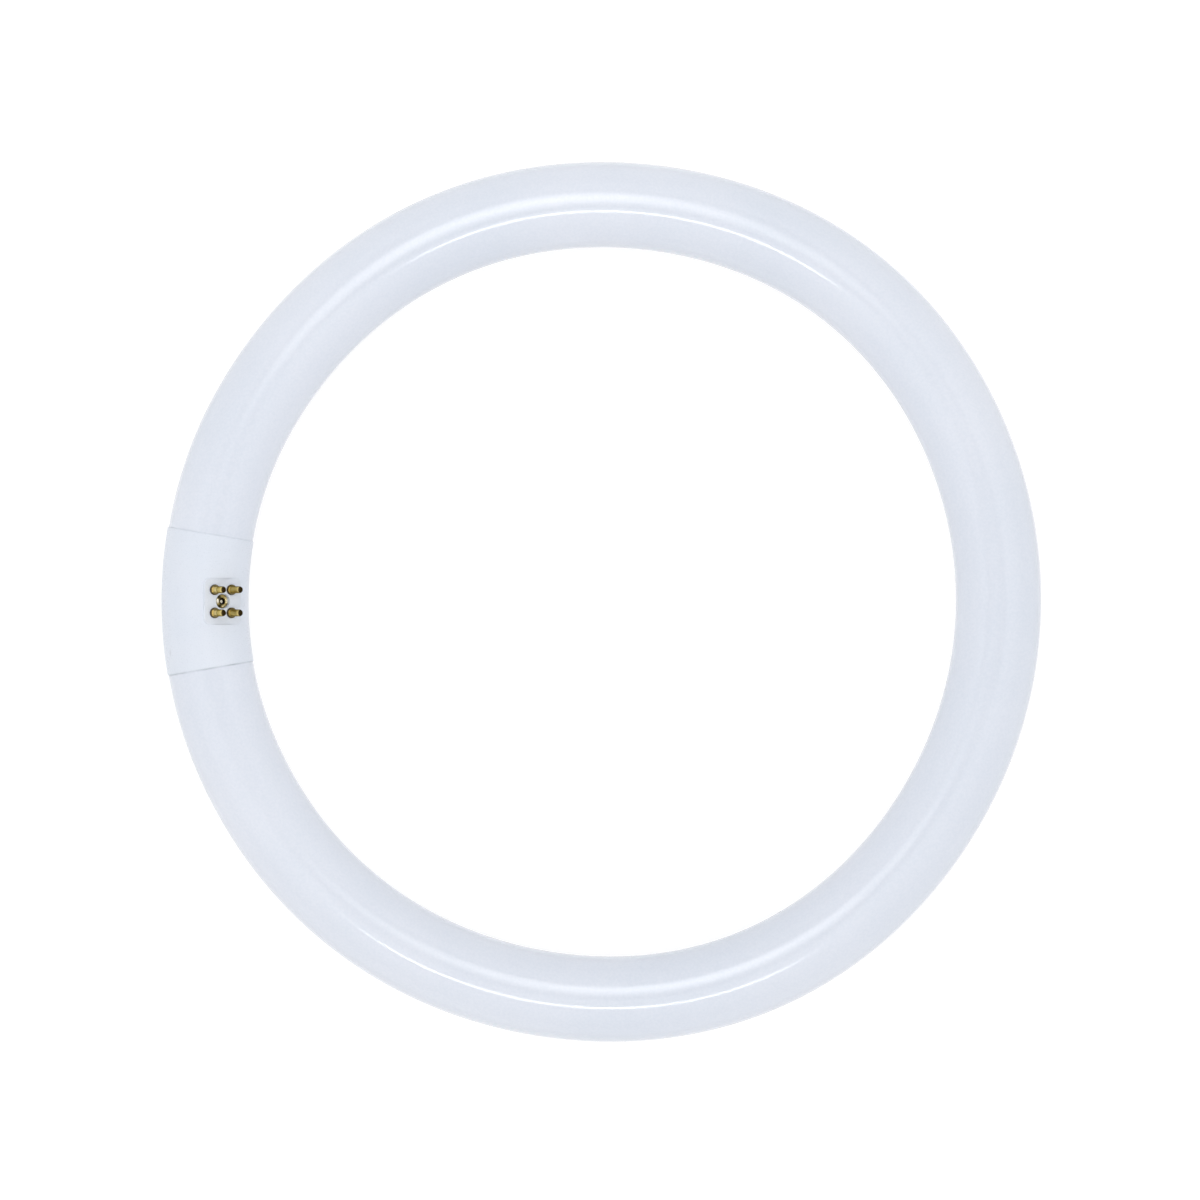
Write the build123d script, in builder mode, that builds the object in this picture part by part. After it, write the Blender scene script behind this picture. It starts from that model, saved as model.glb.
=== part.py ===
# Circular fluorescent lamp: a bent opal glass tube closed into a ring by a moulded cap with four pins.
# It lies flat with its pins upward. The origin is on the ring's axis, level with the lowest point of
# the cap, +Z is the ring's axis, and the cap is at -X. All sizes are in millimetres and degrees.
import os
from math import cos, degrees, radians, sin, sqrt

from build123d import *

# Ring of glass
ring_outer_diameter = 305.0
tube_diameter = 29.5
shoulder_radius = 0.3
rim_radius = 3.0

# Sealed glass ends, a funnel with an exhaust tip standing on its floor
glass_end_gap = 20.0
funnel_mouth_radius = 7.5
funnel_floor_radius = 5.0
funnel_depth = 12.0
exhaust_radius = 2.2
exhaust_stand_out = 1.5

# Moulded cap
cap_length = 46.6
cap_proud = 0.3
cap_wall = 1.3
cap_edge_radius = 0.2
seam_gap = 0.1
neck_space = 0.75
grip_clearance = 0.15
grip_width = 1.2
grips_at_each_end = 3
stop_width = 1.4
stop_clearance = 0.3
stop_opening_radius = 9.0
lip_depth = 1.0
lip_clearance = 0.1

# Flat pad that carries the pins, tilted towards the ring's centre
pin_tilt = 30.0
pad_recess = 0.65
pad_across = 14.0
pad_along = 16.1
pad_corner = 2.0
pad_edge_radius = 0.3

# Contact pins
pin_spacing_across = 6.35
pin_spacing_along = 7.94
pin_radius = 1.18
pin_length = 7.6
pin_bore_radius = 0.75
pin_tip_wall = 0.9
collar_radius = 1.8
collar_height = 0.9
collar_edge_radius = 0.45
shank_radius = 1.35
shank_clearance = 0.05
flare_radius = 1.9
flare_height = 0.4
pin_boss_radius = 2.4
pin_boss_height = 2.0

# Rivet through both halves
rivet_shank_radius = 1.6
rivet_hollow_radius = 1.05
rivet_hollow_depth = 1.4
rivet_hollow_point = 0.3
rivet_roll_radius = 2.4
rivet_roll_height = 0.6
rivet_head_radius = 2.9
rivet_head_height = 1.1
rivet_head_edge = 0.4
rivet_clearance = 0.1
front_post_radius = 3.0
back_post_radius = 3.7
front_counterbore_radius = 2.6
front_counterbore_depth = 1.0
back_counterbore_radius = 3.6
back_counterbore_depth = 2.1
back_floor = 2.0
spigot_radius = 2.4
spigot_height = 1.2
spigot_clearance = 0.1

# Lead wires from the stems to the pins
lead_radius = 0.3
lead_stem_offset = 3.5
lead_stand_out = 1.0
lead_drop_below_pin = 4.0
lead_bend_radius = 2.5
lead_end_gap = 0.3

# Worked out from the sizes above
tube_radius = tube_diameter / 2
ring_radius = (ring_outer_diameter - tube_diameter) / 2
cap_radius = tube_radius + cap_proud
cap_inner_radius = cap_radius - cap_wall
neck_radius = cap_inner_radius - neck_space
grip_radius = neck_radius + grip_clearance
centre_height = cap_radius
lip_radius = cap_inner_radius + cap_wall / 2
pad_height = cap_radius - pad_recess
pad_underside = sqrt(cap_inner_radius**2 - (pad_across / 2) ** 2)
boss_underside = pad_underside - pin_boss_height
front_rivet_seat = pad_height - front_counterbore_depth
back_rivet_seat = back_counterbore_depth - cap_radius
back_boss_root = cap_wall / 4 - cap_inner_radius


# Angle at the ring's axis that a length along the tube's centreline takes
def ring_angle(length):
    return degrees(length / ring_radius)


cap_azimuth = 180.0
cap_half_angle = ring_angle(cap_length / 2)
glass_shoulder_azimuth = cap_azimuth - cap_half_angle - ring_angle(seam_gap)
glass_end_azimuth = cap_azimuth - ring_angle(glass_end_gap / 2)


# Plane across the tube at an azimuth: x points away from the ring's axis and y points up
def section_plane(azimuth):
    angle = radians(azimuth)
    return Plane(
        origin=(ring_radius * cos(angle), ring_radius * sin(angle), centre_height),
        x_dir=(cos(angle), sin(angle), 0),
        z_dir=(sin(angle), -cos(angle), 0),
    )


# Plane through the tube's centre inside the cap: z points along the pins, y along the tube
tilt = radians(pin_tilt)
pin_direction = Vector(sin(tilt), 0, cos(tilt))
across_direction = Vector(cos(tilt), 0, -sin(tilt))
pin_plane = Plane(
    origin=(-ring_radius, 0, centre_height), x_dir=across_direction, z_dir=pin_direction
)


# Plane that holds the axis of a turned part: x is the radius and y runs along the pins' direction
def turning_plane(across, along):
    return Plane(
        origin=pin_plane.from_local_coords((across, along, 0)),
        x_dir=across_direction,
        z_dir=(0, -1, 0),
    )


# Plane that holds the axis of a sealed glass end, on the +Y side for 1 and the -Y side for -1: x runs
# out of the end towards the cap's middle and y points up
def end_plane(side):
    angle = radians(side * glass_end_azimuth)
    return Plane(
        origin=section_plane(side * glass_end_azimuth).origin,
        x_dir=(-side * sin(angle), side * cos(angle), 0),
        z_dir=(side * cos(angle), side * sin(angle), 0),
    )


# Glass, with its filled body standing for the sealed tube
with BuildPart() as glass_tube:
    with BuildSketch(section_plane(-glass_shoulder_azimuth)):
        Circle(tube_radius)
    revolve(axis=Axis.Z, revolution_arc=2 * glass_shoulder_azimuth)
    fillet(glass_tube.faces().filter_by(GeomType.PLANE).edges(), shoulder_radius)

    # Necks that the cap slides over
    neck_start = glass_shoulder_azimuth - ring_angle(grip_width)
    for side in (-1, 1):
        with BuildSketch(section_plane(side * neck_start)):
            Circle(neck_radius)
        revolve(axis=Axis.Z, revolution_arc=side * (glass_end_azimuth - neck_start))
        plane = end_plane(side)
        rim_face = glass_tube.faces().filter_by(GeomType.PLANE).sort_by_distance(plane.origin)[0]
        fillet(rim_face.edges(), rim_radius)

        # Funnel of the stem, open towards the cap's middle
        with BuildSketch(plane):
            with BuildLine():
                Polyline(
                    (-funnel_depth, 0),
                    (-funnel_depth, funnel_floor_radius),
                    (0, funnel_mouth_radius),
                    (rim_radius, funnel_mouth_radius),
                    (rim_radius, 0),
                    close=True,
                )
            make_face()
        revolve(axis=Axis(plane.origin, plane.x_dir), mode=Mode.SUBTRACT)

        # Exhaust tip with a rounded end
        tip_shoulder = exhaust_stand_out - exhaust_radius
        with BuildSketch(plane):
            with BuildLine():
                Polyline(
                    (exhaust_stand_out, 0),
                    (-funnel_depth, 0),
                    (-funnel_depth, exhaust_radius),
                    (tip_shoulder, exhaust_radius),
                )
                RadiusArc((tip_shoulder, exhaust_radius), (exhaust_stand_out, 0), exhaust_radius)
            make_face()
        revolve(axis=Axis(plane.origin, plane.x_dir))


# Ring segment inside the cap, from one azimuth over an arc, between two radii round the tube's centre
def ring_segment(start_azimuth, arc, outer_radius, inner_radius):
    with BuildPart() as segment:
        with BuildSketch(section_plane(start_azimuth)):
            Circle(outer_radius)
            if inner_radius:
                Circle(inner_radius, mode=Mode.SUBTRACT)
        revolve(axis=Axis.Z, revolution_arc=arc)
    return segment.part


# Whole moulding before it is parted: grips round each glass neck, and a stop before each glass end
cap_start = cap_azimuth - cap_half_angle
with BuildPart() as whole_cap:
    add(ring_segment(cap_start, 2 * cap_half_angle, cap_radius, cap_inner_radius))
    end_edges = whole_cap.edges().filter_by(GeomType.CIRCLE)
    end_edges = end_edges.filter_by(lambda edge: abs(edge.radius - cap_radius) < cap_wall / 4)
    fillet([edge for edge in end_edges if edge.is_closed], cap_edge_radius)
    grip_room = cap_length / 2 - glass_end_gap / 2 - rim_radius - grip_width
    wall_root = cap_inner_radius + cap_wall / 4
    for end in (-1, 1):
        for number in range(grips_at_each_end):
            inset = number * grip_room / (grips_at_each_end - 1)
            grip_start = cap_azimuth + end * ring_angle(cap_length / 2 - inset)
            add(ring_segment(grip_start, -end * ring_angle(grip_width), wall_root, grip_radius))
        stop_start = cap_azimuth + end * ring_angle(glass_end_gap / 2 - stop_clearance)
        add(ring_segment(stop_start, -end * ring_angle(stop_width), wall_root, stop_opening_radius))


# Part of the cap's inside between two heights along the pins, for the lip and the rebate it fits
def lip_band(outer_radius, inner_radius, low, high):
    with BuildPart() as band:
        add(ring_segment(cap_start, 2 * cap_half_angle, outer_radius, inner_radius))
        split(bisect_by=pin_plane.offset(low), keep=Keep.TOP)
        split(bisect_by=pin_plane.offset(high), keep=Keep.BOTTOM)
    return band.part


# Front half of the cap, with the pin pad, its bosses and the rivet post
with BuildPart() as pad:
    with BuildSketch(pin_plane.offset(pad_underside)):
        RectangleRounded(pad_across, pad_along, pad_corner)
    extrude(amount=pad_height - pad_underside)
    fillet(pad.faces().sort_by(Axis((0, 0, 0), pin_direction))[-1].edges(), pad_edge_radius)

with BuildPart() as cap_front_shell:
    add(whole_cap.part)
    split(bisect_by=pin_plane, keep=Keep.TOP)
    add(lip_band(lip_radius - lip_clearance / 2, cap_inner_radius, -lip_depth, lip_depth))
    with BuildSketch(pin_plane.offset(pad_height)):
        RectangleRounded(pad_across, pad_along, pad_corner)
    extrude(amount=cap_radius, mode=Mode.SUBTRACT)
    add(pad.part)

    with BuildSketch(pin_plane.offset(boss_underside)):
        with GridLocations(pin_spacing_across, pin_spacing_along, 2, 2):
            Circle(pin_boss_radius)
    extrude(amount=pin_boss_height)
    with BuildSketch(pin_plane.offset(-spigot_height)):
        Circle(spigot_radius)
    extrude(amount=spigot_height)
    with BuildSketch(pin_plane):
        Circle(front_post_radius)
    extrude(amount=pad_underside)

    with BuildSketch(pin_plane.offset(pad_height)):
        with GridLocations(pin_spacing_across, pin_spacing_along, 2, 2):
            Circle(shank_radius + shank_clearance)
    extrude(amount=boss_underside - pad_height, mode=Mode.SUBTRACT)
    with BuildSketch(pin_plane.offset(pad_height)):
        Circle(front_counterbore_radius)
    extrude(amount=-front_counterbore_depth, mode=Mode.SUBTRACT)
    with BuildSketch(pin_plane.offset(pad_height)):
        Circle(rivet_shank_radius + rivet_clearance)
    extrude(amount=-pad_height - spigot_height, mode=Mode.SUBTRACT)


# Back half of the cap, with the socket for the spigot and the recess for the rivet's head
with BuildPart() as cap_back_shell:
    add(whole_cap.part)
    split(bisect_by=pin_plane, keep=Keep.BOTTOM)
    rebate_radius = lip_radius + lip_clearance / 2
    add(lip_band(rebate_radius, 0, -lip_depth - lip_clearance, lip_depth), mode=Mode.SUBTRACT)
    with BuildSketch(pin_plane.offset(back_boss_root)):
        Circle(back_counterbore_radius + cap_wall)
    extrude(amount=back_rivet_seat + back_floor - back_boss_root)
    with BuildSketch(pin_plane.offset(back_rivet_seat + back_floor / 2)):
        Circle(back_post_radius)
    extrude(amount=-back_rivet_seat - back_floor / 2)
    with BuildSketch(pin_plane.offset(back_rivet_seat)):
        Circle(back_counterbore_radius)
    extrude(amount=-back_counterbore_depth, mode=Mode.SUBTRACT)
    with BuildSketch(pin_plane):
        Circle(spigot_radius + spigot_clearance)
    extrude(amount=-spigot_height - spigot_clearance, mode=Mode.SUBTRACT)
    with BuildSketch(pin_plane):
        Circle(rivet_shank_radius + rivet_clearance)
    extrude(amount=back_rivet_seat, mode=Mode.SUBTRACT)


# Rivet: a low domed head at the back, and a hollow end rolled over on the pad's side
with BuildPart() as cap_rivet:
    with BuildSketch(turning_plane(0, 0)):
        with BuildLine():
            head_top = back_rivet_seat - rivet_head_height
            head_edge = back_rivet_seat - rivet_head_edge
            hollow_floor = front_rivet_seat - rivet_hollow_depth
            roll_crest = (rivet_roll_radius + rivet_hollow_radius) / 2
            Line((0, hollow_floor - rivet_hollow_point), (0, head_top))
            TangentArc((0, head_top), (rivet_head_radius, head_edge), tangent=(1, 0))
            Polyline(
                (rivet_head_radius, head_edge),
                (rivet_head_radius, back_rivet_seat),
                (rivet_shank_radius, back_rivet_seat),
                (rivet_shank_radius, front_rivet_seat),
                (rivet_roll_radius, front_rivet_seat),
            )
            ThreePointArc(
                (rivet_roll_radius, front_rivet_seat),
                (roll_crest, front_rivet_seat + rivet_roll_height),
                (rivet_hollow_radius, front_rivet_seat),
            )
            Polyline(
                (rivet_hollow_radius, front_rivet_seat),
                (rivet_hollow_radius, hollow_floor),
                (0, hollow_floor - rivet_hollow_point),
            )
        make_face()
    revolve(axis=Axis(pin_plane.origin, pin_direction))


# Contact pin: flared inside the cap, with a collar on the pad and a hollow for its lead wire
def contact_pin(across, along):
    plane = turning_plane(across, along)
    inner_end = boss_underside - flare_height
    collar_top = pad_height + collar_height
    tip = pad_height + pin_length
    bore_end = tip - pin_tip_wall
    with BuildPart() as pin:
        with BuildSketch(plane):
            with BuildLine():
                Polyline(
                    (0, tip),
                    (0, bore_end),
                    (pin_bore_radius, bore_end),
                    (pin_bore_radius, inner_end),
                    (flare_radius, inner_end),
                    (flare_radius, boss_underside),
                    (shank_radius, boss_underside),
                    (shank_radius, pad_height),
                    (collar_radius, pad_height),
                    (collar_radius, collar_top - collar_edge_radius),
                )
                RadiusArc(
                    (collar_radius, collar_top - collar_edge_radius),
                    (collar_radius - collar_edge_radius, collar_top),
                    -collar_edge_radius,
                )
                Line((collar_radius - collar_edge_radius, collar_top), (pin_radius, collar_top))
                Line((pin_radius, collar_top), (pin_radius, tip - pin_radius))
                RadiusArc((pin_radius, tip - pin_radius), (0, tip), -pin_radius)
            make_face()
        revolve(axis=Axis(plane.origin, pin_direction))
    return pin.part


# Lead wire from the floor of a stem's funnel, out past the exhaust tip and up into its pin
def lead_wire(across_side, along_side):
    plane = end_plane(along_side)
    offset_up = -across_side * lead_stem_offset * sin(tilt)
    offset_side = -across_side * along_side * lead_stem_offset * cos(tilt)
    stem = plane.from_local_coords((-funnel_depth, offset_up, offset_side))
    mouth = plane.from_local_coords((lead_stand_out, offset_up, offset_side))
    across = across_side * pin_spacing_across / 2
    along = along_side * pin_spacing_along / 2
    below_pin = boss_underside - flare_height - lead_drop_below_pin
    turn = pin_plane.from_local_coords((across, along, below_pin))
    wire_end = pad_height + pin_length - pin_tip_wall - lead_end_gap
    end = pin_plane.from_local_coords((across, along, wire_end))
    points = [stem, mouth, turn, end]
    with BuildPart() as wire:
        with BuildLine() as route:
            FilletPolyline(*points, radius=lead_bend_radius)
        with BuildSketch(Plane(origin=points[0], z_dir=points[1] - points[0])):
            Circle(lead_radius)
        sweep(path=route.wires()[0])
    return wire.part


os.makedirs("parts", exist_ok=True)

glass_tube.part.label = "glass_tube"
export_step(glass_tube.part, "parts/glass_tube.step")
cap_front_shell.part.label = "cap_front_shell"
export_step(cap_front_shell.part, "parts/cap_front_shell.step")
cap_back_shell.part.label = "cap_back_shell"
export_step(cap_back_shell.part, "parts/cap_back_shell.step")
cap_rivet.part.label = "cap_rivet"
export_step(cap_rivet.part, "parts/cap_rivet.step")

sides = [(-1, 1), (1, 1), (-1, -1), (1, -1)]
for number, (across_side, along_side) in enumerate(sides, start=1):
    pin = contact_pin(across_side * pin_spacing_across / 2, along_side * pin_spacing_along / 2)
    pin.label = f"contact_pin_{number}"
    export_step(pin, f"parts/contact_pin_{number}.step")
    wire = lead_wire(across_side, along_side)
    wire.label = f"lead_wire_{number}"
    export_step(wire, f"parts/lead_wire_{number}.step")
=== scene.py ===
from math import atan2, cos, pi, radians, sin

import bmesh
import bpy
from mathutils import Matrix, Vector


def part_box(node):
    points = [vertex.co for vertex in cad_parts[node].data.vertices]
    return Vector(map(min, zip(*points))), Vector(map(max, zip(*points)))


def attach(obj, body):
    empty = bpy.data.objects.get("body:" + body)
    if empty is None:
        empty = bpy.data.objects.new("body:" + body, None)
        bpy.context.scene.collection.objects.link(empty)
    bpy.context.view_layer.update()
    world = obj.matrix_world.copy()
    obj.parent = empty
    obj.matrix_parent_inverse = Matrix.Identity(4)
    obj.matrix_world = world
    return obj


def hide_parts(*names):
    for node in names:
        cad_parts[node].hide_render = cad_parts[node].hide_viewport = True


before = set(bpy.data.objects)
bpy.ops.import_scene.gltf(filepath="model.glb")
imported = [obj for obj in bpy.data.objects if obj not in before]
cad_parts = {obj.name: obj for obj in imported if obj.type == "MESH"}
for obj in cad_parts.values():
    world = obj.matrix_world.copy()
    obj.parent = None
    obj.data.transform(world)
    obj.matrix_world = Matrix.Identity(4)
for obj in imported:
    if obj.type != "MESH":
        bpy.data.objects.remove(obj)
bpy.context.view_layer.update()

scene = bpy.context.scene
print("stage: frame loaded,", len(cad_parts), "nodes")

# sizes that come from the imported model, in metres
glassLow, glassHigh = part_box("glass_tube")
tubeRadius = (glassHigh.z - glassLow.z) / 2
ringRadius = glassHigh.x - tubeRadius
ringHeight = (glassHigh.z + glassLow.z) / 2
print("ring radius", round(ringRadius, 5), "tube radius", round(tubeRadius, 5))


# selection and edit helpers

def deselectAll():
    if bpy.context.object and bpy.context.object.mode != "OBJECT":
        bpy.ops.object.mode_set(mode="OBJECT")
    bpy.ops.object.select_all(action="DESELECT")


def nameNewObject(name):
    made = bpy.context.object
    made.name = name
    made.data.name = name
    return made


def applyPlace(piece):
    deselectAll()
    piece.select_set(True)
    bpy.context.view_layer.objects.active = piece
    bpy.ops.object.transform_apply(location=True, rotation=True, scale=True)


def editPiece(piece):
    deselectAll()
    piece.select_set(True)
    bpy.context.view_layer.objects.active = piece
    bpy.ops.object.mode_set(mode="EDIT")
    bpy.ops.mesh.select_mode(type="VERT")
    bpy.ops.mesh.select_all(action="DESELECT")


def selectVerts(piece, test):
    mesh = bmesh.from_edit_mesh(piece.data)
    for vert in mesh.verts:
        vert.select_set(bool(test(vert)))
    mesh.select_flush_mode()
    bmesh.update_edit_mesh(piece.data)


# angle round the ring from the middle of the cap, positive towards +Y
def capAngle(point):
    return atan2(point.y, -point.x)


# the tube's centre at that angle
def sectionCentre(angle):
    return Vector((-ringRadius * cos(angle), ringRadius * sin(angle), ringHeight))


# direction along the tube towards the middle of the cap
def towardsCap(angle, side):
    return Vector((-side * sin(angle * side), -side * cos(angle * side), 0))


# Glass ring. Its ends are the sealed glass necks that the cap closes round, each with a funnel and
# an exhaust tip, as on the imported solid

glassRing = {
    "stepsAround": 360,
    "stepsOfSection": 72,
    "capLength": 0.0466,
    "seamGap": 0.0001,
    "shoulderRadius": 0.0003,
    "neckRadius": 0.0130,
    "endGap": 0.0200,
    "rimRadius": 0.0030,
    "funnelMouth": 0.0075,
    "funnelFloor": 0.0050,
    "funnelDepth": 0.0120,
    "tipRadius": 0.0022,
    "tipStandOut": 0.0015,
    "closedTip": 0.02,  # share of the tip's radius at which its last loop is drawn together
    "shoulderSteps": 5,
    "neckSteps": 5,
    "rimSteps": 7,
    "tipSteps": 8,
    "mergeWithin": 1e-7,
    "smoothBelow": radians(35),
    # slow waves of the bent tube out of a true circle: count round the ring, size, crest's angle
    "outOfRound": [
        (2, 0.00020, radians(154.6)),
        (3, 0.00045, radians(155.8)),
        (4, 0.00025, radians(133.1)),
        (6, 0.00022, radians(-42.4)),
    ],
    "trueNearCap": radians(14),  # the waves die out between these two angles from the cap's middle
    "fullWaves": radians(30),
}


# one more loop: pulled out of the selected one, then turned, slid and scaled about its own centre
def growLoop(turn=0.0, slide=(0, 0, 0), scale=1.0, centre=(0, 0, 0)):
    bpy.ops.mesh.extrude_region_move()
    if turn:
        bpy.ops.transform.rotate(value=-turn, orient_axis="Z", center_override=(0, 0, 0))
    if scale != 1.0:
        bpy.ops.transform.resize(value=(scale, scale, scale), center_override=centre)
    if Vector(slide).length:
        bpy.ops.transform.translate(value=slide)


# the selected end loop follows an outline of (angle from the cap's middle, radius of the section)
def followNeck(side, angle, radius, outline):
    for nextAngle, nextRadius in outline:
        growLoop(
            turn=side * (angle - nextAngle),
            scale=nextRadius / radius,
            centre=sectionCentre(side * nextAngle),
        )
        angle, radius = nextAngle, nextRadius


# the selected rim follows an outline of (distance out of the glass end, radius), straight out
def followStem(side, angle, radius, outline):
    axis = towardsCap(side * angle, side)
    middle = sectionCentre(side * angle)
    reach = 0.0
    for nextReach, nextRadius in outline:
        growLoop(
            scale=nextRadius / radius,
            centre=middle + axis * reach,
            slide=axis * (nextReach - reach),
        )
        reach, radius = nextReach, nextRadius


def quarterArc(steps):
    return [step * pi / 2 / steps for step in range(1, steps + 1)]


def makeGlassRing():
    s = glassRing
    bpy.ops.mesh.primitive_torus_add(
        major_segments=s["stepsAround"],
        minor_segments=s["stepsOfSection"],
        major_radius=ringRadius,
        minor_radius=tubeRadius,
        location=(0, 0, ringHeight),
    )
    ring = nameNewObject("glass_ring")
    applyPlace(ring)

    # open the ring at the cap, a step wider than the neck's shoulder
    shoulderAngle = (s["capLength"] / 2 + s["seamGap"]) / ringRadius
    step = 2 * pi / s["stepsAround"]
    firstLoop = (int((shoulderAngle + s["shoulderRadius"] / ringRadius) / step) + 1) * step
    editPiece(ring)
    selectVerts(ring, lambda vert: abs(capAngle(vert.co)) < firstLoop - step / 2)
    bpy.ops.mesh.delete(type="VERT")

    endAngle = s["endGap"] / 2 / ringRadius
    for side in (-1, 1):
        bpy.ops.mesh.select_all(action="DESELECT")
        selectVerts(ring, lambda vert: vert.is_boundary and capAngle(vert.co) * side > 0
                    and abs(capAngle(vert.co)) < firstLoop + step / 2)
        r = s["shoulderRadius"]
        outline = [(shoulderAngle + r / ringRadius, tubeRadius)]
        for arc in quarterArc(s["shoulderSteps"]):
            outline.append((
                shoulderAngle + r * (1 - sin(arc)) / ringRadius,
                tubeRadius - r * (1 - cos(arc)),
            ))
        outline.append((shoulderAngle, s["neckRadius"]))
        rimStart = endAngle + s["rimRadius"] / ringRadius
        for k in range(1, s["neckSteps"] + 1):
            share = k / s["neckSteps"]
            outline.append((shoulderAngle + (rimStart - shoulderAngle) * share, s["neckRadius"]))
        for arc in quarterArc(s["rimSteps"]):
            outline.append((
                endAngle + s["rimRadius"] * (1 - sin(arc)) / ringRadius,
                s["neckRadius"] - s["rimRadius"] * (1 - cos(arc)),
            ))
        followNeck(side, firstLoop, tubeRadius, outline)

        tipShoulder = s["tipStandOut"] - s["tipRadius"]
        outline = [(0, s["funnelMouth"]), (-s["funnelDepth"], s["funnelFloor"])]
        outline += [(-s["funnelDepth"], s["tipRadius"]), (tipShoulder, s["tipRadius"])]
        for arc in quarterArc(s["tipSteps"])[:-1]:
            outline.append((tipShoulder + s["tipRadius"] * sin(arc), s["tipRadius"] * cos(arc)))
        outline.append((s["tipStandOut"], s["tipRadius"] * s["closedTip"]))
        followStem(side, endAngle, s["neckRadius"] - s["rimRadius"], outline)
        bpy.ops.mesh.merge(type="CENTER")

    bpy.ops.mesh.select_all(action="SELECT")
    bpy.ops.mesh.remove_doubles(threshold=s["mergeWithin"])
    bpy.ops.mesh.normals_make_consistent(inside=False)
    bpy.ops.object.mode_set(mode="OBJECT")

    # bend the ring a little out of round, away from the cap
    for vert in ring.data.vertices:
        angle = capAngle(vert.co)
        away = (abs(angle) - s["trueNearCap"]) / (s["fullWaves"] - s["trueNearCap"])
        away = min(max(away, 0), 1)
        azimuth = atan2(vert.co.y, vert.co.x)
        wave = sum(
            size * cos(count * azimuth - crest) for count, size, crest in s["outOfRound"]
        )
        outward = Vector((cos(azimuth), sin(azimuth), 0))
        vert.co += outward * wave * away * away * (3 - 2 * away)

    bpy.ops.object.shade_smooth_by_angle(angle=s["smoothBelow"])
    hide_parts("glass_tube")
    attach(ring, "root")
    return ring


ring = makeGlassRing()
print("stage: glass ring made,", len(ring.data.polygons), "faces")


# Node helpers

class NodeBench:
    def __init__(self, tree):
        self.tree = tree

    def add(self, kind, settings=None, inputs=None):
        node = self.tree.nodes.new(kind)
        for key, value in (settings or {}).items():
            setattr(node, key, value)
        for key, value in (inputs or {}).items():
            if isinstance(value, bpy.types.NodeSocket):
                self.tree.links.new(value, node.inputs[key])
            else:
                node.inputs[key].default_value = value
        return node

    def math(self, operation, first, second=0.0):
        node = self.add("ShaderNodeMath", {"operation": operation}, {0: first, 1: second})
        return node.outputs[0]

    def blendColour(self, amount, first, second):
        mix = self.add("ShaderNodeMix", {"data_type": "RGBA"})
        sockets = mix.inputs[0], mix.inputs[6], mix.inputs[7]
        for socket, value in zip(sockets, (amount, first, second)):
            if isinstance(value, bpy.types.NodeSocket):
                self.tree.links.new(value, socket)
            else:
                socket.default_value = value
        return mix.outputs[2]

    def remap(self, value, fromLow, fromHigh, toLow, toHigh, kind="LINEAR"):
        node = self.add("ShaderNodeMapRange", {"interpolation_type": kind})
        self.tree.links.new(value, node.inputs[0])
        for index, number in enumerate((fromLow, fromHigh, toLow, toHigh), start=1):
            node.inputs[index].default_value = number
        return node.outputs[0]


def newMaterial(name):
    material = bpy.data.materials.new(name)
    material.use_nodes = True
    material.node_tree.nodes.clear()
    return material, NodeBench(material.node_tree)


def newGroup(name, numbers, outputs):
    group = bpy.data.node_groups.new(name, "ShaderNodeTree")
    group.interface.new_socket("Place", in_out="INPUT", socket_type="NodeSocketVector")
    for label, value in numbers.items():
        socket = group.interface.new_socket(label, in_out="INPUT", socket_type="NodeSocketFloat")
        socket.default_value = value
    for label in outputs:
        group.interface.new_socket(label, in_out="OUTPUT", socket_type="NodeSocketFloat")
    bench = NodeBench(group)
    return group, bench, bench.add("NodeGroupInput"), bench.add("NodeGroupOutput")


noiseLow, noiseHigh = 0.3, 0.7  # nearly all of a noise texture lies between these


# slow cloudy variation with fine specks over it, as in a powder coat or a moulded plastic
def makeMottleGroup():
    group, bench, inside, outside = newGroup(
        "mottle", {"CloudScale": 20, "SpeckScale": 900, "SpeckShare": 0.4}, ["Mottle"]
    )
    cloud = bench.add("ShaderNodeTexNoise", {}, {"Detail": 3, "Roughness": 0.5})
    speck = bench.add("ShaderNodeTexNoise", {}, {"Detail": 1, "Roughness": 0.5})
    for noise, scale in ((cloud, "CloudScale"), (speck, "SpeckScale")):
        group.links.new(inside.outputs["Place"], noise.inputs["Vector"])
        group.links.new(inside.outputs[scale], noise.inputs["Scale"])
    clouds = bench.remap(cloud.outputs[0], noiseLow, noiseHigh, 0, 1)
    specks = bench.remap(speck.outputs[0], noiseLow, noiseHigh, 0, 1)
    mixed = bench.add("ShaderNodeMix", {"data_type": "FLOAT"})
    group.links.new(inside.outputs["SpeckShare"], mixed.inputs[0])
    group.links.new(clouds, mixed.inputs[2])
    group.links.new(specks, mixed.inputs[3])
    group.links.new(mixed.outputs[0], outside.inputs["Mottle"])
    return group


metalWear = {
    "blotchScale": 420,
    "blotches": (0.42, 0.68),  # values of the noise between which the metal tarnishes
    "lineScale": 3200,
    "lineStretch": 0.05,
    "lineDepth": 0.000006,
    "besideMarks": 0.7,  # share of the tarnish left on a piece that has marks of its own
}


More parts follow.
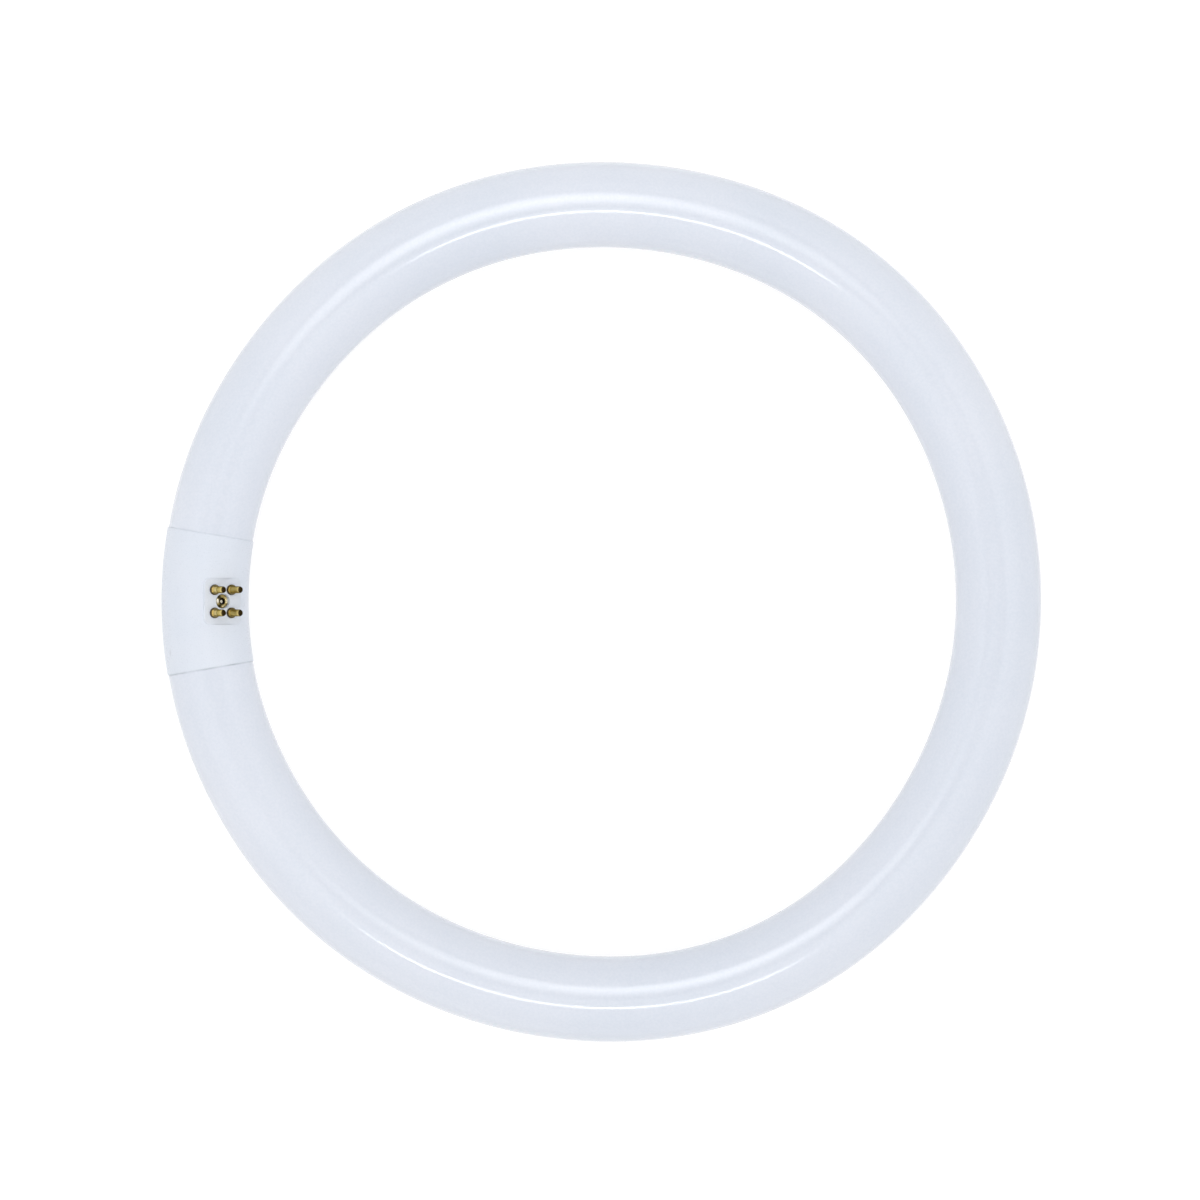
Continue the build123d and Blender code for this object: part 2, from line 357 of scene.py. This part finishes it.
# tarnish in blotches, and fine rubbed lines along one axis of the metal
def makeWearGroup():
    group, bench, inside, outside = newGroup(
        "metalWear",
        {"BlotchScale": 400, "LineScale": 2600, "LineStretch": 0.06},
        ["Tarnish", "Lines"],
    )
    blotch = bench.add("ShaderNodeTexNoise", {}, {"Detail": 4, "Roughness": 0.6})
    group.links.new(inside.outputs["Place"], blotch.inputs["Vector"])
    group.links.new(inside.outputs["BlotchScale"], blotch.inputs["Scale"])
    tarnish = bench.remap(blotch.outputs[0], *metalWear["blotches"], 0, 1, "SMOOTHSTEP")
    group.links.new(tarnish, outside.inputs["Tarnish"])
    stretch = bench.add("ShaderNodeCombineXYZ", {}, {"X": 1.0, "Y": 1.0})
    group.links.new(inside.outputs["LineStretch"], stretch.inputs["Z"])
    squeezed = bench.add("ShaderNodeVectorMath", {"operation": "MULTIPLY"})
    group.links.new(inside.outputs["Place"], squeezed.inputs[0])
    group.links.new(stretch.outputs[0], squeezed.inputs[1])
    lines = bench.add("ShaderNodeTexNoise", {}, {"Detail": 2, "Roughness": 0.5})
    group.links.new(squeezed.outputs[0], lines.inputs["Vector"])
    group.links.new(inside.outputs["LineScale"], lines.inputs["Scale"])
    group.links.new(lines.outputs[0], outside.inputs["Lines"])
    return group


# painted shade in the groove where the cap meets the glass
seamDirt = {
    "fromCapMiddle": (glassRing["capLength"] + glassRing["seamGap"]) / 2,  # along the tube
    "reach": 0.00055,
    "patchScale": 180,
    "patches": (0.35, 0.6),  # values of the noise between which the line goes from faint to dark
    "strength": (0.3, 0.85),
    "upperShare": 0.28,  # of that strength, at the end towards +Y
    "changeover": (-0.01, 0.01),  # places along Y between which that share comes in
}


# painted shade: a grey line where the cap meets the glass, fainter in places and weaker at the end
# towards +Y
def makeSeamGroup():
    s = seamDirt
    group, bench, inside, outside = newGroup("seamDirt", {}, ["Dirt"])
    place = inside.outputs["Place"]
    parts = bench.add("ShaderNodeSeparateXYZ", {}, {"Vector": place}).outputs
    angle = bench.math("ARCTAN2", parts["Y"], bench.math("MULTIPLY", parts["X"], -1))
    along = bench.math("MULTIPLY", bench.math("ABSOLUTE", angle), ringRadius)
    away = bench.math("ABSOLUTE", bench.math("SUBTRACT", along, s["fromCapMiddle"]))
    line = bench.remap(away, 0, s["reach"], 1, 0, "SMOOTHSTEP")
    patches = bench.add("ShaderNodeTexNoise", {}, {
        "Scale": s["patchScale"], "Detail": 2.0, "Vector": place,
    })
    strength = bench.remap(patches.outputs[0], *s["patches"], *s["strength"])
    share = bench.remap(parts["Y"], *s["changeover"], 1, s["upperShare"])
    strength = bench.math("MULTIPLY", strength, share)
    group.links.new(bench.math("MULTIPLY", line, strength), outside.inputs["Dirt"])
    return group


mottleGroup = makeMottleGroup()
wearGroup = makeWearGroup()
seamGroup = makeSeamGroup()


def placeGroup(bench, group, place, values):
    node = bench.add("ShaderNodeGroup", {"node_tree": group})
    bench.tree.links.new(place, node.inputs["Place"])
    for label, value in values.items():
        node.inputs[label].default_value = value
    return node


def placeMottle(bench, place, finish):
    return placeGroup(bench, mottleGroup, place, {
        "CloudScale": finish["cloudScale"],
        "SpeckScale": finish["speckScale"],
        "SpeckShare": finish["speckShare"],
    })


def setMaterial(piece, material):
    if not piece.data.materials:
        piece.data.materials.append(material)
    for index in range(len(piece.material_slots)):
        piece.material_slots[index].material = material


# Opal glass: white powder seen through a clear glass wall

opalGlass = {
    "powder": (0.790, 0.822, 0.900, 1),
    "thinPowder": (0.716, 0.764, 0.852, 1),
    "roughness": 0.11,
    "roughPatches": 0.04,
    "roughPatchScale": 60,
    "ior": 1.54,
    "cloudScale": 22,
    "speckScale": 1100,
    "speckShare": 0.45,
    "waveScale": 38,
    "waveDepth": 0.00004,
    # colour of the painted shade along the seam with the cap
    "seamDirt": (0.52, 0.56, 0.62, 1),
}


def makeOpalGlass():
    s = opalGlass
    material, bench = newMaterial("opalGlass")
    place = bench.add("ShaderNodeTexCoord").outputs["Object"]
    powder = placeMottle(bench, place, s)
    colour = bench.blendColour(powder.outputs["Mottle"], s["powder"], s["thinPowder"])
    # painted shade along the seam with the cap
    seam = placeGroup(bench, seamGroup, place, {})
    colour = bench.blendColour(seam.outputs["Dirt"], colour, s["seamDirt"])
    patches = bench.add("ShaderNodeTexNoise", {}, {
        "Scale": s["roughPatchScale"], "Detail": 2.0, "Vector": place,
    })
    roughest = s["roughness"] + s["roughPatches"]
    rough = bench.remap(patches.outputs[0], noiseLow, noiseHigh, s["roughness"], roughest)
    waves = bench.add("ShaderNodeTexNoise", {}, {
        "Scale": s["waveScale"], "Detail": 1.0, "Vector": place,
    })
    bump = bench.add("ShaderNodeBump", {}, {"Strength": 1.0, "Distance": s["waveDepth"]})
    bench.tree.links.new(waves.outputs[0], bump.inputs["Height"])
    shader = bench.add("ShaderNodeBsdfPrincipled", {}, {
        "Base Color": colour, "Roughness": rough, "IOR": s["ior"], "Normal": bump.outputs[0],
    })
    bench.add("ShaderNodeOutputMaterial", {}, {"Surface": shader.outputs[0]})
    return material


# Cap: white moulded plastic with a satin skin

capPlastic = {
    "body": (0.775, 0.815, 0.892, 1),
    "cloudy": (0.745, 0.795, 0.880, 1),
    "smoothest": 0.25,
    "roughest": 0.38,
    "ior": 1.53,
    "cloudScale": 70,
    "speckScale": 1500,
    "speckShare": 0.22,
    "grainScale": 2600,
    "grainDepth": 0.000012,
    "scuffed": (0.42, 0.44, 0.47, 1),
    # colour of the painted shade along the seam with the glass
    "seamDirt": (0.50, 0.56, 0.62, 1),
    # a grey scuff near one end and a small spot on the inner side: centre, reach, strength
    "marks": [
        ((-0.1491, -0.0181, 0.0249), (0.0006, 0.0026, 0.0020), 0.45),
        ((-0.1243, 0.0102, 0.0217), (0.0005, 0.0006, 0.0010), 0.45),
    ],
}

markCore = 0.3  # share of a mark's reach inside which it has its full strength


def markMask(bench, place, mark):
    centre, reach, strength = mark
    away = bench.add("ShaderNodeVectorMath", {"operation": "SUBTRACT"}, {0: place, 1: centre})
    away = bench.add("ShaderNodeVectorMath", {"operation": "DIVIDE"}, {
        0: away.outputs[0], 1: reach,
    })
    away = bench.add("ShaderNodeVectorMath", {"operation": "LENGTH"}, {0: away.outputs[0]})
    return bench.remap(away.outputs["Value"], markCore, 1.0, strength, 0, "SMOOTHSTEP")


def makeCapPlastic():
    s = capPlastic
    material, bench = newMaterial("capPlastic")
    place = bench.add("ShaderNodeTexCoord").outputs["Object"]
    moulding = placeMottle(bench, place, s)
    colour = bench.blendColour(moulding.outputs["Mottle"], s["body"], s["cloudy"])
    # painted shade along the seam with the glass
    seam = placeGroup(bench, seamGroup, place, {})
    colour = bench.blendColour(seam.outputs["Dirt"], colour, s["seamDirt"])
    for mark in s["marks"]:
        colour = bench.blendColour(markMask(bench, place, mark), colour, s["scuffed"])
    grain = bench.add("ShaderNodeTexNoise", {}, {
        "Scale": s["grainScale"], "Detail": 2.0, "Vector": place,
    })
    rough = bench.remap(grain.outputs[0], noiseLow, noiseHigh, s["smoothest"], s["roughest"])
    bump = bench.add("ShaderNodeBump", {}, {"Strength": 1.0, "Distance": s["grainDepth"]})
    bench.tree.links.new(grain.outputs[0], bump.inputs["Height"])
    shader = bench.add("ShaderNodeBsdfPrincipled", {}, {
        "Base Color": colour, "Roughness": rough, "IOR": s["ior"], "Normal": bump.outputs[0],
    })
    bench.add("ShaderNodeOutputMaterial", {}, {"Surface": shader.outputs[0]})
    return material


# Brass of the pins and the rivet, and the bright metal of the lead wires. Places are read in the
# pins' own frame: z along them from the middle of the tube, x across the tube and y along it

pinTilt = radians(30)

pinMarks = {
    "halfAcross": 0.003175,
    "halfAlong": 0.00397,
    # painted shade on the collars' rims
    "rim": (0.00115, 0.00165),  # distances from the pin's axis between which the collar darkens
    "rimStrength": 0.93,
    # distances along the tube between which painted shade darkens the shank's sides, and how much
    "sides": (0.00078, 0.00114, 0.7),
    # height, half width and strength of a line of painted shade round the outer shanks
    "band": (0.0186, 0.00045, 0.75),
    # painted dark reflection on the pins' ends
    "tip": (0.02095, 0.02140),  # heights between which the end darkens
    "tipLean": 0.5,  # how much lower the dark end reaches towards the middle of the ring
    # painted shade: darker and also rougher brass on the outer shanks above their roots and over
    # the two inner pins
    "dullShading": (0.0176, 0.0190),  # heights between which the bright outer roots turn dull
    "innerDullShading": 0.9,  # the two pins nearer the middle of the ring are dull all over
}

rivetMarks = {
    # painted shade in the hollow, lighter on its floor, and round the roll's outer edge
    "hollowRadius": 0.00112,
    "hollowFloor": (0.01175, 0.0119),
    "hollowStrength": (0.6, 1),
    "edge": (0.0019, 0.0024),
    "edgeStrength": 0.35,
    # painted dark reflections on the roll: centre, reach, strength
    "darkReflectionMarks": [
        ((-0.0012, 0.0014, 0.0139), (0.0011, 0.0010, 0.0010), 0.9),
        ((-0.0010, -0.0016, 0.0139), (0.0011, 0.0009, 0.0010), 0.95),
        ((0.0014, -0.0010, 0.0139), (0.0006, 0.0006, 0.0010), 0.5),
    ],
    # painted highlights on the roll and a painted glint on the hollow's floor: centre, reach,
    # strength
    "highlightMarks": [
        ((0.00060, -0.0001, 0.0119), (0.00065, 0.0007, 0.0008), 1.0),
        ((-0.0018, 0.0001, 0.0138), (0.0008, 0.0010, 0.0009), 1.0),
        ((0.0020, 0.0002, 0.0137), (0.0009, 0.0015, 0.0010), 0.8),
        ((0.0002, -0.0017, 0.0139), (0.0005, 0.0005, 0.0008), 0.6),
    ],
}

metals = {
    "pinBrass": {
        "bright": (1, 0.84, 0.42, 1),
        "dull": (0.74, 0.60, 0.24, 1),
        # colour of the painted shade and painted dark reflections
        "shadeColour": (0.036, 0.023, 0.007, 1),
        "edgeTint": (0.30, 0.22, 0.10, 1),
        "polished": 0.40,
        "rubbed": 0.32,
    },
    "rivetBrass": {
        "bright": (0.62, 0.50, 0.22, 1),
        "dull": (0.27, 0.21, 0.07, 1),
        # colour of the painted shade and painted dark reflections
        "shadeColour": (0.018, 0.013, 0.005, 1),
        # colour of the painted highlights
        "highlightColour": (0.98, 0.93, 0.78, 1),
        "edgeTint": (0.35, 0.28, 0.15, 1),
        "polished": 0.22,
        "rubbed": 0.45,
    },
    "leadMetal": {
        "bright": (0.72, 0.69, 0.64, 1),
        "dull": (0.48, 0.40, 0.34, 1),
        "edgeTint": (1, 1, 1, 1),
        "polished": 0.25,
        "rubbed": 0.45,
    },
}


def roundDistance(bench, first, second):
    squares = [bench.math("MULTIPLY", value, value) for value in (first, second)]
    return bench.math("SQRT", bench.math("ADD", *squares))


def strongest(bench, masks):
    mask = masks[0]
    for other in masks[1:]:
        mask = bench.math("MAXIMUM", mask, other)
    return mask


# the pins: painted shade on the collar rims, the shank sides and a line round the two outer
# shanks, painted dark reflections on the contact ends, and duller metal with painted shade above
# their bright roots
def makePinMarksGroup():
    s = pinMarks
    group, bench, inside, outside = newGroup("pinMarks", {}, ["Stain", "DullShade"])
    parts = bench.add("ShaderNodeSeparateXYZ", {}, {"Vector": inside.outputs["Place"]}).outputs
    side = bench.math("SIGN", parts["X"])
    across = bench.math("SUBTRACT", parts["X"], bench.math("MULTIPLY", side, s["halfAcross"]))
    along = bench.math("SUBTRACT", bench.math("ABSOLUTE", parts["Y"]), s["halfAlong"])
    # painted shade on the collars' rims
    rim = bench.remap(roundDistance(bench, across, along), *s["rim"], 0, 1, "SMOOTHSTEP")
    rim = bench.math("MULTIPLY", rim, s["rimStrength"])
    # painted shade on the shank's sides
    sideFrom, sideTo, sideStrength = s["sides"]
    sides = bench.math("ABSOLUTE", along)
    sides = bench.remap(sides, sideFrom, sideTo, 0, sideStrength, "SMOOTHSTEP")
    onInner = bench.math("GREATER_THAN", parts["X"], 0)
    onOuter = bench.math("SUBTRACT", 1, onInner)
    # a line of painted shade round the outer shanks
    bandHeight, bandHalf, bandStrength = s["band"]
    fromBand = bench.math("ABSOLUTE", bench.math("SUBTRACT", parts["Z"], bandHeight))
    band = bench.remap(fromBand, 0, bandHalf, bandStrength, 0, "SMOOTHSTEP")
    band = bench.math("MULTIPLY", band, onOuter)
    # painted dark reflection on the ends, reaching lower towards the middle of the ring
    leaning = bench.math("ADD", parts["Z"], bench.math("MULTIPLY", across, s["tipLean"]))
    tip = bench.remap(leaning, *s["tip"], 0, 1, "SMOOTHSTEP")
    group.links.new(strongest(bench, [rim, sides, band, tip]), outside.inputs["Stain"])
    # painted shade with rougher metal on the outer shanks above their roots and over the two inner
    # pins
    dull = bench.remap(parts["Z"], *s["dullShading"], 0, 1, "SMOOTHSTEP")
    dull = bench.math("MULTIPLY", dull, onOuter)
    inner = bench.math("MULTIPLY", onInner, s["innerDullShading"])
    group.links.new(bench.math("MAXIMUM", dull, inner), outside.inputs["DullShade"])
    return group


# the rivet: painted shade on the wall of its hollow and round its rolled rim's edge, painted dark
# reflections on the rim, and painted highlights on the rim and in the hollow
def makeRivetMarksGroup():
    s = rivetMarks
    group, bench, inside, outside = newGroup("rivetMarks", {}, ["Stain", "PaintedHighlight"])
    place = inside.outputs["Place"]
    parts = bench.add("ShaderNodeSeparateXYZ", {}, {"Vector": place}).outputs
    away = roundDistance(bench, parts["X"], parts["Y"])
    # painted shade in the hollow, lighter on its floor
    inHollow = bench.math("LESS_THAN", away, s["hollowRadius"])
    wall = bench.remap(parts["Z"], *s["hollowFloor"], *s["hollowStrength"])
    wall = bench.math("MULTIPLY", inHollow, wall)
    # painted shade round the roll's outer edge
    edge = bench.remap(away, *s["edge"], 0, s["edgeStrength"], "SMOOTHSTEP")
    # painted dark reflections on the roll
    darkReflectionMarks = [markMask(bench, place, mark) for mark in s["darkReflectionMarks"]]
    group.links.new(strongest(bench, [wall, edge, *darkReflectionMarks]), outside.inputs["Stain"])
    # painted highlights on the roll and in the hollow
    highlightMarks = [markMask(bench, place, mark) for mark in s["highlightMarks"]]
    group.links.new(strongest(bench, highlightMarks), outside.inputs["PaintedHighlight"])
    return group


def makeMetal(name, marksGroup=None):
    s = metals[name]
    material, bench = newMaterial(name)
    place = bench.add("ShaderNodeTexCoord").outputs["Object"]
    alongPin = bench.add("ShaderNodeMapping", {"vector_type": "TEXTURE"}, {
        "Vector": place, "Location": (-ringRadius, 0, ringHeight), "Rotation": (0, pinTilt, 0),
    }).outputs[0]
    wear = placeGroup(bench, wearGroup, alongPin, {
        "BlotchScale": metalWear["blotchScale"],
        "LineScale": metalWear["lineScale"],
        "LineStretch": metalWear["lineStretch"],
    })
    tarnish = wear.outputs["Tarnish"]
    if marksGroup:
        marks = placeGroup(bench, marksGroup, alongPin, {}).outputs
        tarnish = bench.math("MULTIPLY", tarnish, metalWear["besideMarks"])
        # the pins' painted shade joins the tarnish, darkening and roughening the brass
        if "DullShade" in marks:
            tarnish = bench.math("MAXIMUM", tarnish, marks["DullShade"])
    colour = bench.blendColour(tarnish, s["bright"], s["dull"])
    rough = bench.remap(tarnish, 0, 1, s["polished"], s["rubbed"])
    if marksGroup:
        # painted shade and painted dark reflections
        colour = bench.blendColour(marks["Stain"], colour, s["shadeColour"])
        # painted highlights
        if "PaintedHighlight" in marks:
            colour = bench.blendColour(marks["PaintedHighlight"], colour, s["highlightColour"])
    bump = bench.add("ShaderNodeBump", {}, {"Strength": 1.0, "Distance": metalWear["lineDepth"]})
    bench.tree.links.new(wear.outputs["Lines"], bump.inputs["Height"])
    shader = bench.add("ShaderNodeBsdfPrincipled", {}, {
        "Base Color": colour, "Metallic": 1.0, "Roughness": rough, "Normal": bump.outputs[0],
        "Specular Tint": s["edgeTint"],
    })
    bench.add("ShaderNodeOutputMaterial", {}, {"Surface": shader.outputs[0]})
    return material


setMaterial(ring, makeOpalGlass())
capMaterial = makeCapPlastic()
for node in ("cap_front_shell", "cap_back_shell"):
    setMaterial(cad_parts[node], capMaterial)
setMaterial(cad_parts["cap_rivet"], makeMetal("rivetBrass", makeRivetMarksGroup()))
pinMaterial = makeMetal("pinBrass", makePinMarksGroup())
leadMaterial = makeMetal("leadMetal")
for number in range(1, 5):
    setMaterial(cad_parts[f"contact_pin_{number}"], pinMaterial)
    setMaterial(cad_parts[f"lead_wire_{number}"], leadMaterial)
print("stage: materials made")


# Studio: a white floor, two soft panels overhead and a pale surround

studio = {
    "floorSize": 14.0,
    "floorBounce": 0.78,
    "floorShown": 0.35,
    "floorGlow": 0.76,
    "horizon": 1.0,
    "lowSky": 0.745,
    "zenith": 0.945,
    "nearFloor": (0.12, 0.24),  # heights in the sky, 0 level and 1 overhead, where it darkens
    "overhead": (0.35, 0.95),  # and where it grows bright again
    "panels": [
        {
            "name": "broadPanel", "place": (-0.08, 0.43, 1.08), "size": (1.06, 1.04),
            "feather": 0.56, "glow": 5.2,
        },
        {
            "name": "stripPanel", "place": (-0.17, -2.32, 6.0), "size": (2.8, 0.43),
            "feather": 0.06, "glow": 15.0,
        },
    ],
}


# the floor is lit like any surface, and glows for the camera and in reflections, to read as white
def makeFloor():
    s = studio
    bpy.ops.mesh.primitive_plane_add(size=s["floorSize"], location=(0, 0, 0))
    floor = nameNewObject("floor")
    material, bench = newMaterial("whiteFloor")
    bounce = bench.add("ShaderNodeBsdfDiffuse", {}, {"Color": (s["floorBounce"],) * 3 + (1,)})
    shown = bench.add("ShaderNodeBsdfDiffuse", {}, {"Color": (s["floorShown"],) * 3 + (1,)})
    glow = bench.add("ShaderNodeEmission", {}, {"Color": (1, 1, 1, 1), "Strength": s["floorGlow"]})
    both = bench.add("ShaderNodeAddShader", {}, {0: shown.outputs[0], 1: glow.outputs[0]})
    path = bench.add("ShaderNodeLightPath")
    seen = bench.math("MAXIMUM", path.outputs["Is Camera Ray"], path.outputs["Is Glossy Ray"])
    seen = bench.math("MAXIMUM", seen, path.outputs["Is Transmission Ray"])
    mixed = bench.add("ShaderNodeMixShader", {}, {
        0: seen, 1: bounce.outputs[0], 2: both.outputs[0],
    })
    bench.add("ShaderNodeOutputMaterial", {}, {"Surface": mixed.outputs[0]})
    setMaterial(floor, material)


# a glowing panel whose light falls off softly at its edges
def makePanel(panel):
    bpy.ops.mesh.primitive_plane_add(size=1, location=panel["place"])
    made = nameNewObject(panel["name"])
    made.scale = (*panel["size"], 1)
    made.visible_camera = False
    made.visible_shadow = False
    material, bench = newMaterial(panel["name"])
    place = bench.add("ShaderNodeTexCoord").outputs["Object"]
    parts = bench.add("ShaderNodeSeparateXYZ", {}, {"Vector": place})
    strength = panel["glow"]
    for index, length in enumerate(panel["size"]):
        across = bench.math("ABSOLUTE", parts.outputs[index])
        fade = bench.remap(across, 0.5 - panel["feather"] / length, 0.5, 1, 0, "SMOOTHSTEP")
        strength = bench.math("MULTIPLY", fade, strength)
    glow = bench.add("ShaderNodeEmission", {}, {"Color": (1, 1, 1, 1), "Strength": strength})
    bench.add("ShaderNodeOutputMaterial", {}, {"Surface": glow.outputs[0]})
    setMaterial(made, material)


# surround: white where it meets the floor, a little darker above that and bright again overhead
def makeSurround():
    s = studio
    world = bpy.data.worlds.new("surround")
    scene.world = world
    world.use_nodes = True
    world.node_tree.nodes.clear()
    bench = NodeBench(world.node_tree)
    direction = bench.add("ShaderNodeTexCoord").outputs["Generated"]
    height = bench.add("ShaderNodeSeparateXYZ", {}, {"Vector": direction}).outputs["Z"]
    overhead = bench.remap(height, *s["overhead"], 0, s["zenith"] - s["lowSky"], "SMOOTHSTEP")
    nearFloor = bench.remap(height, *s["nearFloor"], s["horizon"] - s["lowSky"], 0, "SMOOTHSTEP")
    strength = bench.math("ADD", bench.math("ADD", overhead, nearFloor), s["lowSky"])
    background = bench.add("ShaderNodeBackground", {}, {
        "Color": (1, 1, 1, 1), "Strength": strength,
    })
    bench.add("ShaderNodeOutputWorld", {}, {"Surface": background.outputs[0]})


camera = {
    "above": 1.6,  # from the middle of the tube
    "frameAcross": 0.4157,  # what the picture takes in at that height
    "aim": (-0.00094, 0.00045),
    "sensor": 36,
}


def makeCamera():
    s = camera
    data = bpy.data.cameras.new("camera")
    data.sensor_width = s["sensor"]
    data.lens = s["sensor"] * s["above"] / s["frameAcross"]
    made = bpy.data.objects.new("camera", data)
    made.location = (*s["aim"], ringHeight + s["above"])
    scene.collection.objects.link(made)
    scene.camera = made


makeFloor()
for panel in studio["panels"]:
    makePanel(panel)
makeSurround()
makeCamera()
scene.view_settings.view_transform = "Standard"
print("stage: studio ready")
